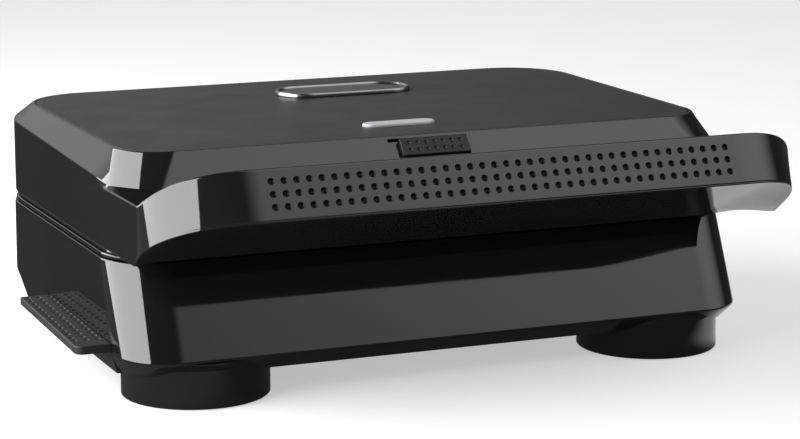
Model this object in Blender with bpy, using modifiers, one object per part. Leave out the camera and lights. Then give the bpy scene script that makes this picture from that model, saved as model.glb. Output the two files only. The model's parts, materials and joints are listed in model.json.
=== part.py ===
"""Contact grill with a hinged lid, a wrap-round handle, a lid latch and a side drip tray.

Metres, +Z up, -Y is the front. The model is drawn round its own symmetry plane, with Y = 0 at the
centres of the front feet, and the empty "grill" carries it so that the world's origin is the bottom
centre of the whole object.
"""

import math

import bmesh
import bpy
from mathutils import Matrix, Vector

# Body in plan
body_half_width = 0.1438
body_back = 0.177
body_back_radius = 0.042
clearance = 0.0003
overrun = 0.002
wall = 0.0026

# Lid
lid_bottom = 0.0635
lid_top = 0.1023
top_half_width = 0.1345
top_front = -0.0015
top_back = 0.169
top_back_radius = 0.030
top_front_radius = 0.020
top_rim_width = 0.0014
panel_thickness = 0.0018
panel_ledge = 0.0055
crease_back_height = 0.0970
crease_front_height = 0.0919
crease_front = 0.020
arm_start = 0.004
arm_start_height = 0.0889
arm_end_height = 0.0905
front_bevel_foot = -0.0132
front_bevel_foot_height = 0.0883
front_bevel_corner_inset = 0.0105
trough_floor_height = 0.0880
bevel_steps = 5

# Handle band
band_top_front = -0.0742
band_top_height = 0.1063
band_bottom_front = -0.0842
band_bottom_height = 0.0867
band_top_end = -0.0505
band_top_end_height = 0.0911
band_bottom_end = -0.0517
band_bottom_end_height = 0.0713
band_flare = 0.0017
band_low_flare = 0.0014
band_top_sweep = math.radians(72)
band_bottom_sweep = math.radians(80)
band_straight_half = 0.098
band_thickness = 0.0032
top_straight_share = 0.9
band_droop_power = 1.25
band_steps = 7
arm_bottom_height = 0.0652
arm_bottom_end = -0.0430
underside_lip_front = -0.035
underside_lip_height = 0.0652
underside_back = -0.0148
underside_thickness = 0.0012
underside_front_height = 0.0849

# Seam
lid_frame_bottom = 0.0613
base_frame_top = 0.0606
frame_thickness = 0.0019
frame_inset = 0.0010
frame_front = -0.0130
frame_front_radius = 0.016

# Base housing
base_top_height = 0.0582
base_top_inset = 0.0006
base_top_half_width = body_half_width - base_top_inset
base_top_front = -0.0120
base_top_back = 0.1757
base_crease_height = 0.0196
base_crease_back_height = 0.0255
base_crease_swell = 0.0001
base_crease_half_width = body_half_width + base_crease_swell
base_crease_taper = 0.0028
base_crease_front = -0.0296
base_crease_back = 0.1755
base_foot_height = 0.0132
base_foot_inset = 0.0030
base_foot_half_width = body_half_width - base_foot_inset
base_foot_front = -0.0235
base_foot_back = 0.1660
base_front_radius = 0.024
base_back_radius = 0.036
base_crease_back_radius = 0.027
bottom_thickness = 0.0025
corner_steps = 6

# Feet
foot_side_inset = 0.0348
rear_foot_side_inset = 0.0428
foot_x = base_foot_half_width - foot_side_inset
rear_foot_x = base_foot_half_width - rear_foot_side_inset
front_foot_y = -0.0002
rear_foot_y = 0.1330
foot_radius = 0.0311
foot_edge = 0.0005
foot_ground_gap = 0.0003
pad_radius = 0.0240
pad_height = 0.0040
foot_segments = 40

# Cooking plates
plate_side_inset = 0.0218
plate_half_width = body_half_width - plate_side_inset
plate_front = 0.016
plate_back = 0.158
plate_radius = 0.012
plate_depth = 0.0110
plate_rim = 0.0050
well_depth = 0.0080
rib_height = 0.0030
rib_width = 0.0030
rib_count = 15
rib_end_gap = 0.0060
drain_radius = 0.0035
drain_x = -0.106
drain_y = 0.027

# Heaters and reflectors
heater_radius = 0.0033
heater_side_inset = 0.024
heater_half_width = plate_half_width - heater_side_inset
heater_front = 0.036
heater_back = 0.138
heater_leg_gap = 0.034
reflector_thickness = 0.0012
reflector_depth = 0.0095
reflector_side_inset = 0.006
reflector_half_width = plate_half_width - reflector_side_inset
reflector_front = 0.024
reflector_back = 0.152
reflector_radius = 0.010

# Hinge
hinge_setback = 0.0065
hinge_height = 0.06095
barrel_radius = 0.0052
pin_radius = 0.0022
pin_clearance = 0.00009
barrel_segments = 24
hinge_x = 0.080
base_barrel_length = 0.0190
lid_barrel_length = 0.0095
hinge_plate_thickness = 0.0020
hinge_plate_height = 0.017
hinge_web_height = 0.009
pin_head_length = 0.0012

# Latch
pad_length = 0.0310
pad_width = 0.0086
pad_rise = 0.0012
pad_sink = 0.0011
pocket_depth = 0.0015
pocket_margin = 0.0005
pad_from_edge = 0.0020
latch_travel = 0.0045
stem_width = 0.0034
stem_length = 0.0070
stem_half = 0.0050
hook_half_width = 0.0040
hook_thickness = 0.0030
hook_front = -0.0020
hook_foot = 0.0530
hook_toe_reach = 0.0047
hook_toe_height = 0.0028
hook_slot_margin = 0.0008

# Drip tray
tray_front = -0.0045
tray_back = 0.0935
tray_face_stand = 0.0002
tray_face = base_crease_half_width + tray_face_stand
tray_face_thickness = 0.0024
tray_face_bottom = 0.0122
tray_face_top = 0.0249
tray_length = 0.150
tray_bottom = 0.0164
tray_rim_height = 0.0240
tray_wall = 0.0016
tray_radius = 0.005
tab_reach = 0.0141
tab_thickness = 0.0036
tab_front_radius = 0.004
tab_back_radius = 0.001
tab_taper = 0.0026
slot_margin = 0.0016
rail_height = 0.0060
rail_width = 0.0022

# Small pieces
lens_x = -0.003
lens_y = 0.0262
lens_length = 0.0335
lens_width = 0.0084
lens_rise = 0.0012
lens_depth = 0.0060
board_thickness = 0.0016
board_margin = 0.004
badge_x = 0.0099
badge_y = 0.1240
badge_length = 0.0660
badge_width = 0.0270
badge_rise = 0.0016
pill_steps = 8
block_length = 0.034
block_width = 0.014
block_height = 0.011
block_x = -0.030
thermostat_radius = 0.0085
thermostat_height = 0.0065
thermostat_x = 0.0
fuse_radius = 0.0026
fuse_length = 0.022
gland_x = 0.040
gland_height = 0.037
gland_radius = 0.0075
gland_bore = 0.0035
gland_flange_radius = 0.0100
gland_flange = 0.0020
gland_length = 0.0110
gland_segments = 20


def make_collections():
    """The collection of the parts and the one of the cutters."""
    made = []
    for name in ("contact_grill", "cutters"):
        collection = bpy.data.collections.new(name)
        bpy.context.scene.collection.children.link(collection)
        made.append(collection)
    made[1].hide_render = True
    return made


for old in list(bpy.data.objects):
    bpy.data.objects.remove(old, do_unlink=True)
parts, cutters = make_collections()
places = {}


def material(name, colour, roughness, metallic=0.0):
    made = bpy.data.materials.new(name)
    made.use_nodes = True
    shader = made.node_tree.nodes["Principled BSDF"]
    shader.inputs["Base Color"].default_value = (*colour, 1.0)
    shader.inputs["Roughness"].default_value = roughness
    shader.inputs["Metallic"].default_value = metallic
    made.diffuse_color = (*colour, 1.0)
    return made


def empty(name, place, parent=None):
    made = bpy.data.objects.new(name, None)
    parts.objects.link(made)
    made.parent = parent
    places[name] = place
    made.location = place - places[parent.name] if parent else place
    return made


def add_object(name, mesh_maker, look, pivot, smooth_angle=None):
    """An object whose mesh is drawn in model coordinates and whose origin is its pivot's."""
    mesh = bpy.data.meshes.new(name)
    bmesh.ops.recalc_face_normals(mesh_maker, faces=mesh_maker.faces)
    mesh_maker.to_mesh(mesh)
    mesh_maker.free()
    mesh.transform(Matrix.Translation(-places[pivot.name]))
    made = bpy.data.objects.new(name, mesh)
    parts.objects.link(made)
    made.parent = pivot
    mesh.materials.append(look)
    if smooth_angle is not None:
        mesh.shade_smooth()
        mesh.set_sharp_from_angle(angle=smooth_angle)
    return made


def add_cutter(name, mesh_maker):
    made = add_object(name, mesh_maker, cutter_look, grill)
    parts.objects.unlink(made)
    cutters.objects.link(made)
    made.hide_render = True
    made.display_type = "WIRE"
    return made


def boolean(target, other, operation="DIFFERENCE"):
    step = target.modifiers.new(operation.lower() + "_" + other.name, "BOOLEAN")
    step.operation = operation
    step.solver = "EXACT"
    step.object = other


def bevel(target, width, segments=2, angle=math.radians(40)):
    step = target.modifiers.new("rounded_edges", "BEVEL")
    step.width = width
    step.segments = segments
    step.limit_method = "ANGLE"
    step.angle_limit = angle


def box_mesh(low, high):
    made = bmesh.new()
    bmesh.ops.create_cube(made, size=1.0)
    low = Vector(low)
    high = Vector(high)
    bmesh.ops.scale(made, vec=high - low, verts=made.verts)
    bmesh.ops.translate(made, vec=(low + high) / 2, verts=made.verts)
    return made


def rod_mesh(centre, axis, radius, length, segments):
    made = bmesh.new()
    bmesh.ops.create_cone(
        made, cap_ends=True, segments=segments, radius1=radius, radius2=radius, depth=length
    )
    turn = Vector((0, 0, 1)).rotation_difference(Vector(axis)).to_matrix().to_4x4()
    bmesh.ops.transform(made, matrix=Matrix.Translation(centre) @ turn, verts=made.verts)
    return made


def rounded_outline(half_width, front, back, front_radius, back_radius, steps=corner_steps):
    """Plan points of a rounded rectangle, anticlockwise from the front right corner."""
    corners = (
        (half_width - front_radius, front + front_radius, front_radius, -90),
        (half_width - back_radius, back - back_radius, back_radius, 0),
        (back_radius - half_width, back - back_radius, back_radius, 90),
        (front_radius - half_width, front + front_radius, front_radius, 180),
    )
    points = []
    for x, y, radius, start in corners:
        for step in range(steps + 1):
            angle = math.radians(start + 90 * step / steps)
            points.append((x + radius * math.cos(angle), y + radius * math.sin(angle)))
    return points


def prism_mesh(outline, low, high):
    made = bmesh.new()
    face = made.faces.new([made.verts.new((x, y, low)) for x, y in outline])
    grown = bmesh.ops.extrude_face_region(made, geom=[face])["geom"]
    lifted = [item for item in grown if isinstance(item, bmesh.types.BMVert)]
    bmesh.ops.translate(made, vec=(0, 0, high - low), verts=lifted)
    return made


def pill_outline(x, y, length, width):
    radius = width / 2
    reach = length / 2 - radius
    points = []
    for side, start in ((1, -90), (-1, 90)):
        for step in range(pill_steps + 1):
            angle = math.radians(start + 180 * step / pill_steps)
            points.append(
                (x + side * reach + radius * math.cos(angle), y + radius * math.sin(angle))
            )
    return points


def skin_mesh(stations):
    """A closed tube of sections: each station is a closed profile, and the stations close too."""
    made = bmesh.new()
    rows = [[made.verts.new(point) for point in station] for station in stations]
    for row, after in zip(rows, rows[1:] + rows[:1]):
        for index in range(len(row)):
            follow = (index + 1) % len(row)
            made.faces.new((row[index], row[follow], after[follow], after[index]))
    return made


def mirrored(stations, closed_ends=2):
    """The right half's stations, then the left half's, without the ones on the plane."""
    left = [[Vector((-p.x, p.y, p.z)) for p in station] for station in stations]
    return stations + left[-closed_ends::-1][:-1]


def blend(start, end, share):
    return start + (end - start) * share


def inset(point, normal, distance, height):
    return Vector((point[0] - normal[0] * distance, point[1] - normal[1] * distance, height))


# Looks
gloss_black = material("gloss_black", (0.012, 0.012, 0.013), 0.08)
satin_black = material("satin_black", (0.075, 0.075, 0.078), 0.42)
matt_black = material("matt_black", (0.03, 0.03, 0.032), 0.6)
rubber = material("rubber", (0.02, 0.02, 0.02), 0.85)
plate_coat = material("plate_coat", (0.035, 0.035, 0.037), 0.5, 0.3)
steel = material("steel", (0.6, 0.6, 0.6), 0.3, 1.0)
heater_steel = material("heater_steel", (0.22, 0.21, 0.2), 0.45, 1.0)
lens_white = material("lens_white", (0.8, 0.8, 0.8), 0.25)
board_green = material("board_green", (0.05, 0.18, 0.08), 0.5)
ceramic = material("ceramic", (0.75, 0.74, 0.7), 0.5)
cutter_look = material("cutter", (0.8, 0.1, 0.1), 0.5)

# Frame of the model: the tray's tab reaches out on the left, the hinge behind, the band in front
tab_end = tray_face + tab_reach
hinge_y = body_back + hinge_setback
depth_middle = (band_bottom_front + hinge_y + barrel_radius) / 2
width_middle = (body_half_width + band_flare - tab_end) / 2
model_shift = Vector((-width_middle, -depth_middle, 0))
grill = empty("grill", Vector())
grill.location = model_shift
lid_pivot = empty("lid_pivot", Vector((0, hinge_y, hinge_height)), grill)


def band_line(share, half_width, front, end, sweep):
    """A point of the handle's plan curve and its outward normal: 0 at the arm, 1 at the straight front."""
    turn = sweep * (1 - share)
    run = half_width - band_straight_half
    across = math.sin(turn) / math.sin(sweep)
    along = (math.cos(turn) - math.cos(sweep)) / (1 - math.cos(sweep))
    point = Vector((band_straight_half + run * across, end + (front - end) * along, 0))
    normal = Vector((
        (end - front) * math.sin(turn) / (1 - math.cos(sweep)),
        -run * math.cos(turn) / math.sin(sweep),
    )).normalized()
    return point, normal


def lid_half_stations():
    """Sections of the lid shell from the back's middle, round the right side, to the front's middle.

    Each section runs: panel recess, ledge, inner bevel, inner wall, wall foot, outer wall or handle
    band, trough floor, bevel foot, top edge.
    """
    stations = []
    seat = lid_top - panel_thickness - clearance
    ledge_low = seat - wall
    under_trough = trough_floor_height - wall
    under_band = trough_floor_height - wall / 2

    def section(top, normal, below, rise):
        head = [
            inset(top, normal, top_rim_width, lid_top),
            inset(top, normal, top_rim_width, seat),
            inset(top, normal, top_rim_width + panel_ledge, seat),
            inset(top, normal, top_rim_width + panel_ledge, ledge_low),
            inset(top, normal, wall, ledge_low),
        ]
        stations.append(head + below + rise + [Vector((top[0], top[1], lid_top))])

    def wall_section(point, normal, top, crease):
        below = [
            inset(point, normal, wall, crease - wall),
            inset(point, normal, wall, under_trough),
            inset(point, normal, wall, lid_bottom),
            inset(point, normal, 0, lid_bottom),
        ]
        section(top, normal, below, [inset(point, normal, 0, crease - n * wall / 3) for n in (3, 2, 1, 0)])

    # Back and sides
    side_length = body_back - crease_front
    top_straight = band_straight_half * top_straight_share
    back_corner = (body_half_width - body_back_radius, body_back - body_back_radius)
    top_corner = (top_half_width - top_back_radius, top_back - top_back_radius)
    wall_section((0, body_back), (0, 1), (0, top_back), crease_back_height)
    for step in range(corner_steps + 1):
        angle = math.radians(90 - 90 * step / corner_steps)
        normal = (math.cos(angle), math.sin(angle))
        point = [back_corner[i] + body_back_radius * normal[i] for i in (0, 1)]
        top = [top_corner[i] + top_back_radius * normal[i] for i in (0, 1)]
        share = (body_back - point[1]) / side_length
        wall_section(point, normal, top, blend(crease_back_height, crease_front_height, share))
    front_centre = (top_half_width - top_front_radius, top_front + top_front_radius)
    side = (body_half_width, crease_front)
    wall_section(side, (1, 0), (top_half_width, front_centre[1]), crease_front_height)

    # Side arms: the bevel leaves the wall, and the trough opens behind the arm
    inner = body_half_width - wall
    bevel_end_x = top_half_width - front_bevel_corner_inset
    for step in range(1, bevel_steps + 1):
        along = (step - 1) / (bevel_steps - 1)
        angle = math.radians(-90 * step / bevel_steps)
        normal = (math.cos(angle), math.sin(angle))
        top = [front_centre[i] + top_front_radius * normal[i] for i in (0, 1)]
        y_wall = blend(arm_start, band_top_end + wall, along)
        y_foot = blend(arm_start, arm_bottom_end, along)
        arm_top = blend(arm_start_height, arm_end_height, along)
        arm_foot = blend(lid_bottom, arm_bottom_height, along)
        opening = min(1, 2 * along)
        floor = blend(arm_top - wall / 4, trough_floor_height, opening)
        outer = body_half_width + band_flare * along
        foot = Vector((
            blend(inner - wall / 4, bevel_end_x, along),
            blend(arm_start, front_bevel_foot, along),
            blend(arm_start_height, front_bevel_foot_height, along),
        ))
        below = [
            foot + Vector((-wall / 2, wall, -wall)),
            Vector((outer - wall, y_wall, under_trough)),
            Vector((inner, y_foot, arm_foot)),
            Vector((body_half_width + band_low_flare * along, y_foot, arm_foot)),
        ]
        rise = [
            Vector((outer, y_wall, arm_top - wall / 4)),
            Vector((outer - wall / 4, y_wall, arm_top)),
            Vector((outer - wall, y_wall, floor)),
            foot,
        ]
        section(top, normal, below, rise)

    # Handle band: a curve from the arm's end to the straight front
    def droop(y, front, end, height, end_height):
        share = max(0, (y - front) / (end - front))
        return height + (end_height - height) * share ** band_droop_power

    for number in range(band_steps + 2):
        if number > band_steps:
            high = Vector((0, band_top_front, band_top_height))
            low = Vector((0, band_bottom_front, band_bottom_height))
            normal = (0, -1)
            top = (0, top_front)
            foot = Vector((0, front_bevel_foot, front_bevel_foot_height))
        else:
            share = number / band_steps
            high, normal = band_line(
                share, body_half_width + band_flare, band_top_front, band_top_end, band_top_sweep
            )
            low, normal = band_line(
                share, body_half_width + band_low_flare, band_bottom_front, band_bottom_end, band_bottom_sweep
            )
            high.z = droop(high.y, band_top_front, band_top_end, band_top_height, band_top_end_height)
            low.z = droop(
                low.y, band_bottom_front, band_bottom_end, band_bottom_height, band_bottom_end_height
            )
            spread = (number + 1) / (band_steps + 2)
            top = (blend(front_centre[0], top_straight, spread), top_front)
            foot = Vector((
                blend(bevel_end_x, top_straight, spread),
                front_bevel_foot,
                front_bevel_foot_height,
            ))
        flat = Vector((normal[0], normal[1], 0))
        floor_share = (trough_floor_height + wall / 2 - low.z) / (high.z - low.z)
        lean = blend(low, high, floor_share)
        floor_point = lean - flat * band_thickness
        floor_point.z = trough_floor_height + wall / 2
        low_in = low - flat * (band_thickness - wall / 4)
        low_in.z = min(low.z, under_band)
        under = lean - flat * (band_thickness + wall)
        under.z = under_band
        high_in = high - flat * band_thickness
        high_in.z = high.z - wall / 4
        below = [foot + Vector((0, wall, -wall)), under, low_in, low]
        section(top, (0, -1), below, [high, high_in, floor_point, foot])
    return stations


lid_housing = add_object(
    "lid_housing", skin_mesh(mirrored(lid_half_stations())), gloss_black, lid_pivot, math.radians(30)
)


# Lid: panel, badge, indicator
top_panel = add_object(
    "top_panel",
    prism_mesh(
        rounded_outline(
            top_half_width - top_rim_width - clearance,
            top_front + top_rim_width + clearance,
            top_back - top_rim_width - clearance,
            top_front_radius - top_rim_width,
            top_back_radius - top_rim_width,
        ),
        lid_top - panel_thickness,
        lid_top,
    ),
    satin_black,
    lid_pivot,
)
lens_hole = add_cutter(
    "lens_hole",
    prism_mesh(
        pill_outline(lens_x, lens_y, lens_length + 2 * clearance, lens_width + 2 * clearance),
        lid_top - lens_depth,
        lid_top + overrun,
    ),
)
boolean(top_panel, lens_hole)
indicator_lens = add_object(
    "indicator_lens",
    prism_mesh(pill_outline(lens_x, lens_y, lens_length, lens_width), lid_top - lens_depth, lid_top + lens_rise),
    lens_white,
    lid_pivot,
)
bevel(indicator_lens, lens_rise / 2)
board_top = lid_top - lens_depth - clearance
lamp_board = add_object(
    "lamp_board",
    box_mesh(
        (lens_x - lens_length / 2 - board_margin, lens_y - lens_width / 2 - board_margin, board_top - board_thickness),
        (lens_x + lens_length / 2 + board_margin, lens_y + lens_width / 2 + board_margin, board_top),
    ),
    board_green,
    lid_pivot,
)
badge_plate = add_object(
    "badge_plate",
    prism_mesh(
        pill_outline(badge_x, badge_y, badge_length, badge_width),
        lid_top + clearance,
        lid_top + clearance + badge_rise,
    ),
    gloss_black,
    lid_pivot,
)
bevel(badge_plate, badge_rise / 3)


# Frames of the seam
def ring_frame(name, half_width, front, back, front_corner, back_corner, low, high, opening, pivot):
    """A flat ring plate whose opening follows a cooking plate."""
    ring = add_object(
        name,
        prism_mesh(rounded_outline(half_width, front, back, front_corner, back_corner), low, high),
        gloss_black,
        pivot,
    )
    hole = add_cutter(name + "_opening", prism_mesh(opening, low - overrun, high + overrun))
    boolean(ring, hole)
    return ring


plate_gap = 2 * clearance
opening_outline = rounded_outline(
    plate_half_width + plate_gap,
    plate_front - plate_gap,
    plate_back + plate_gap,
    plate_radius + plate_gap,
    plate_radius + plate_gap,
)
lid_frame_top = lid_bottom - clearance
lid_frame = ring_frame(
    "lid_frame",
    body_half_width - frame_inset,
    frame_front,
    body_back - frame_inset,
    frame_front_radius,
    body_back_radius - frame_inset,
    lid_frame_bottom,
    lid_frame_top,
    opening_outline,
    lid_pivot,
)
base_frame_bottom = base_top_height + clearance
base_frame = ring_frame(
    "base_frame",
    base_top_half_width - frame_inset / 2,
    base_top_front + frame_inset / 2,
    base_top_back - frame_inset / 2,
    base_front_radius,
    base_back_radius,
    base_frame_bottom,
    base_frame_top,
    opening_outline,
    grill,
)


# Underside of the handle: a sloping cover between the arms
def underside_height(y):
    """Height of the cover's lower face: flat behind the lip, then rising to the band."""
    slope = (underside_front_height - underside_lip_height) / (underside_lip_front - underside_front)
    return underside_lip_height + slope * max(0, underside_lip_front - y)


underside_gap = band_thickness - wall / 4 + 2 * clearance
underside_front = band_bottom_front + underside_gap
underside_half = body_half_width - wall - 4 * clearance


def underside_mesh():
    right = []
    for step in range(band_steps + 1):
        point, normal = band_line(
            step / band_steps, body_half_width, band_bottom_front, band_bottom_end, band_bottom_sweep
        )
        edge = point - Vector((normal[0], normal[1], 0)) * underside_gap
        right.append((min(edge.x, underside_half), edge.y))
    made = bmesh.new()
    grid = []
    for x, front in right + [(-x, front) for x, front in reversed(right)]:
        ys = [underside_back, underside_lip_front, (underside_lip_front + front) / 2, front]
        grid.append([made.verts.new((x, y, underside_height(y))) for y in ys])
    for row, after in zip(grid, grid[1:]):
        for index in range(len(row) - 1):
            made.faces.new((row[index], row[index + 1], after[index + 1], after[index]))
    return made


handle_underside = add_object("handle_underside", underside_mesh(), gloss_black, lid_pivot)
thicken = handle_underside.modifiers.new("thickness", "SOLIDIFY")
thicken.thickness = underside_thickness
thicken.offset = 1.0


# Base housing: two outlines and a tucked-in foot, skinned as one wall
def crease_height(y):
    """The crease rises a little towards the back."""
    share = (y - base_crease_front) / (base_crease_back - base_crease_front)
    return blend(base_crease_height, base_crease_back_height, share)


def crease_narrowing(y):
    """The crease draws in a little towards the back."""
    share = (y - base_crease_front) / (base_crease_back - base_crease_front)
    return 1 - base_crease_taper / base_crease_half_width * share


def base_sections():
    levels = (
        (base_top_half_width, base_top_front, base_top_back, base_back_radius, None, base_top_height),
        (base_crease_half_width, base_crease_front, base_crease_back, base_crease_back_radius, crease_height, 0),
        (base_foot_half_width, base_foot_front, base_foot_back, base_back_radius, None, base_foot_height),
    )
    rings = []
    for depth in (0, wall):
        for half_width, front, back, back_radius, rise, height in levels:
            outline = rounded_outline(
                half_width - depth, front + depth, back - depth, base_front_radius - depth, back_radius - depth
            )
            if rise:
                rings.append([Vector((x * crease_narrowing(y), y, rise(y))) for x, y in outline])
            else:
                rings.append([Vector((x, y, height)) for x, y in outline])
    order = rings[:3] + rings[:2:-1]
    return [list(station) for station in zip(*order)]


slot_depth = 3 * wall
base_housing = add_object("base_housing", skin_mesh(base_sections()), gloss_black, grill, math.radians(30))
tray_slot = add_cutter(
    "tray_slot",
    box_mesh(
        (-body_half_width - overrun, tray_front - slot_margin, tray_face_bottom - overrun),
        (-base_foot_half_width + slot_depth, tray_back + slot_margin, tray_face_top + clearance * 2),
    ),
)
base_bottom = add_object(
    "base_bottom",
    prism_mesh(
        rounded_outline(
            base_foot_half_width - wall - clearance,
            base_foot_front + wall + clearance,
            base_foot_back - wall - clearance,
            base_front_radius - wall,
            base_back_radius - wall,
        ),
        base_foot_height,
        base_foot_height + bottom_thickness,
    ),
    matt_black,
    grill,
)

# Feet: hollowed drums with a rubber pad in each
for side, way in (("left", -1), ("right", 1)):
    for end, reach, y in (("front", foot_x, front_foot_y), ("rear", rear_foot_x, rear_foot_y)):
        x = way * reach
        high = base_foot_height - clearance
        height = high - foot_ground_gap
        drum = add_object(
            f"foot_{end}_{side}",
            rod_mesh((x, y, (high + foot_ground_gap) / 2), (0, 0, 1), foot_radius, height, foot_segments),
            gloss_black,
            grill,
            math.radians(30),
        )
        bevel(drum, foot_edge, 3, math.radians(60))
        pad_high = pad_height + clearance
        recess = add_cutter(
            f"pad_recess_{end}_{side}",
            rod_mesh(
                (x, y, (pad_high - overrun) / 2), (0, 0, 1), pad_radius + clearance, pad_high + overrun, foot_segments
            ),
        )
        boolean(drum, recess)
        add_object(
            f"foot_pad_{end}_{side}",
            rod_mesh((x, y, pad_height / 2), (0, 0, 1), pad_radius, pad_height, foot_segments),
            rubber,
            grill,
            math.radians(30),
        )


# Cooking plates: a rimmed well with ribs, drawn for the lower plate and mirrored for the upper
def cooking_plate(name, rim_height, upward, pivot):
    low, high = sorted((rim_height, rim_height - upward * plate_depth))
    plate = add_object(
        name,
        prism_mesh(rounded_outline(plate_half_width, plate_front, plate_back, plate_radius, plate_radius), low, high),
        plate_coat,
        pivot,
    )
    bed = rim_height - upward * well_depth
    well_low, well_high = sorted((bed, rim_height + upward * overrun))
    well = add_cutter(
        name + "_well",
        prism_mesh(
            rounded_outline(
                plate_half_width - plate_rim,
                plate_front + plate_rim,
                plate_back - plate_rim,
                plate_radius - plate_rim,
                plate_radius - plate_rim,
            ),
            well_low,
            well_high,
        ),
    )
    boolean(plate, well)
    ribs = bmesh.new()
    spacing = 2 * (plate_half_width - plate_rim) / (rib_count + 1)
    rib_low, rib_high = sorted((bed - upward * clearance, bed + upward * rib_height))
    for number in range(rib_count):
        middle = plate_rim - plate_half_width + spacing * (number + 1)
        one = box_mesh(
            (middle - rib_width / 2, plate_front + plate_rim + 2 * rib_end_gap, rib_low),
            (middle + rib_width / 2, plate_back - plate_rim - rib_end_gap, rib_high),
        )
        block = bpy.data.meshes.new("rib")
        one.to_mesh(block)
        one.free()
        ribs.from_mesh(block)
        bpy.data.meshes.remove(block)
    boolean(plate, add_cutter(name + "_ribs", ribs), "UNION")
    return plate


lower_plate = cooking_plate("lower_plate", base_frame_top, 1, grill)
upper_plate = cooking_plate("upper_plate", lid_frame_bottom, -1, lid_pivot)
lower_plate_under = base_frame_top - plate_depth
upper_plate_over = lid_frame_bottom + plate_depth
drain = add_cutter(
    "drain_hole",
    rod_mesh((drain_x, drain_y, lower_plate_under), (0, 0, 1), drain_radius, 2 * plate_depth, barrel_segments),
)
boolean(lower_plate, drain)


# Heating elements: a bent tube with two connecting ends at the back
def heater(name, height, pivot):
    curve = bpy.data.curves.new(name, "CURVE")
    curve.dimensions = "3D"
    curve.bevel_depth = heater_radius
    curve.bevel_resolution = 1
    curve.use_fill_caps = True
    line = curve.splines.new("POLY")
    points = [(heater_leg_gap / 2, reflector_back - reflector_radius)]
    bend = heater_leg_gap / 2
    turn = (
        (heater_leg_gap / 2 + bend, heater_back - bend, 180, 90),
        (heater_half_width - bend, heater_back - bend, 90, 0),
        (heater_half_width - bend, heater_front + bend, 0, -90),
    )
    for x, y, start, end in turn:
        for step in range(4):
            angle = math.radians(blend(start, end, step / 3))
            points.append((x + bend * math.cos(angle), y + bend * math.sin(angle)))
    points[0] = (points[1][0], reflector_back - reflector_radius)
    points[1:5] = [(points[1][0], heater_back - bend)]
    points += [(-x, y) for x, y in reversed(points)]
    line.points.add(len(points) - 1)
    for point, (x, y) in zip(line.points, points):
        point.co = (x, y, height, 1)
    made = bpy.data.objects.new(name, curve)
    made.location = -places[pivot.name]
    parts.objects.link(made)
    made.parent = pivot
    curve.materials.append(heater_steel)
    return made


lower_heater_height = lower_plate_under - heater_radius - clearance
upper_heater_height = upper_plate_over + heater_radius + clearance
lower_heater = heater("lower_heater", lower_heater_height, grill)
upper_heater = heater("upper_heater", upper_heater_height, lid_pivot)


# Reflectors: thin dishes behind the heating elements
def reflector(name, open_height, downward, pivot):
    low, high = sorted((open_height, open_height + downward * reflector_depth))
    dish = add_object(
        name,
        prism_mesh(
            rounded_outline(reflector_half_width, reflector_front, reflector_back, reflector_radius, reflector_radius),
            low,
            high,
        ),
        steel,
        pivot,
    )
    floor = open_height + downward * (reflector_depth - reflector_thickness)
    hollow_low, hollow_high = sorted((floor, open_height - downward * overrun))
    hollow = add_cutter(
        name + "_hollow",
        prism_mesh(
            rounded_outline(
                reflector_half_width - reflector_thickness,
                reflector_front + reflector_thickness,
                reflector_back - reflector_thickness,
                reflector_radius - reflector_thickness,
                reflector_radius - reflector_thickness,
            ),
            hollow_low,
            hollow_high,
        ),
    )
    boolean(dish, hollow)
    return dish


lower_reflector = reflector("lower_reflector", lower_plate_under - clearance, -1, grill)
upper_reflector = reflector("upper_reflector", upper_plate_over + clearance, 1, lid_pivot)

# Hinge: a barrel on the base between two barrels on the lid, and a pin through them
for side, sign in (("left", -1), ("right", 1)):
    middle = sign * hinge_x
    half = base_barrel_length / 2
    bore = pin_radius + pin_clearance
    outer = half + clearance + lid_barrel_length

    def barrel(low, high, radius):
        return rod_mesh(((low + high) / 2, hinge_y, hinge_height), (1, 0, 0), radius, high - low, barrel_segments)

    bracket = add_object(
        f"hinge_bracket_{side}",
        barrel(middle - half, middle + half, barrel_radius),
        steel,
        grill,
        math.radians(30),
    )
    plate_front_y = base_top_back + clearance
    web = add_cutter(
        f"bracket_plate_{side}",
        box_mesh(
            (middle - half, plate_front_y, hinge_height - hinge_web_height - hinge_plate_height),
            (middle + half, plate_front_y + hinge_plate_thickness, hinge_height),
        ),
    )
    boolean(bracket, web, "UNION")
    neck = add_cutter(
        f"bracket_neck_{side}",
        box_mesh(
            (middle - half, plate_front_y + hinge_plate_thickness / 2, hinge_height - hinge_plate_thickness),
            (middle + half, hinge_y, hinge_height + hinge_plate_thickness / 2),
        ),
    )
    boolean(bracket, neck, "UNION")
    arm = add_object(
        f"hinge_arm_{side}",
        box_mesh(
            (middle - outer, body_back + clearance, hinge_height + hinge_web_height),
            (middle + outer, body_back + clearance + hinge_plate_thickness, hinge_height + hinge_web_height + hinge_plate_height),
        ),
        steel,
        lid_pivot,
        math.radians(30),
    )
    pin_hole = add_cutter(f"pin_hole_{side}", barrel(middle - outer - overrun, middle + outer + overrun, bore))
    for place, low, high in (
        ("inner", middle - outer, middle - half - clearance),
        ("outer", middle + half + clearance, middle + outer),
    ):
        boolean(arm, add_cutter(f"arm_barrel_{place}_{side}", barrel(low, high, barrel_radius)), "UNION")
        ear = box_mesh(
            (low, body_back + clearance, hinge_height),
            (high, hinge_y, hinge_height + hinge_web_height + hinge_plate_thickness),
        )
        boolean(arm, add_cutter(f"arm_ear_{place}_{side}", ear), "UNION")
    boolean(bracket, pin_hole)
    boolean(arm, pin_hole)
    pin = add_object(
        f"hinge_pin_{side}",
        barrel(middle - outer - pin_head_length, middle + outer + pin_head_length, pin_radius),
        steel,
        grill,
        math.radians(30),
    )


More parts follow.
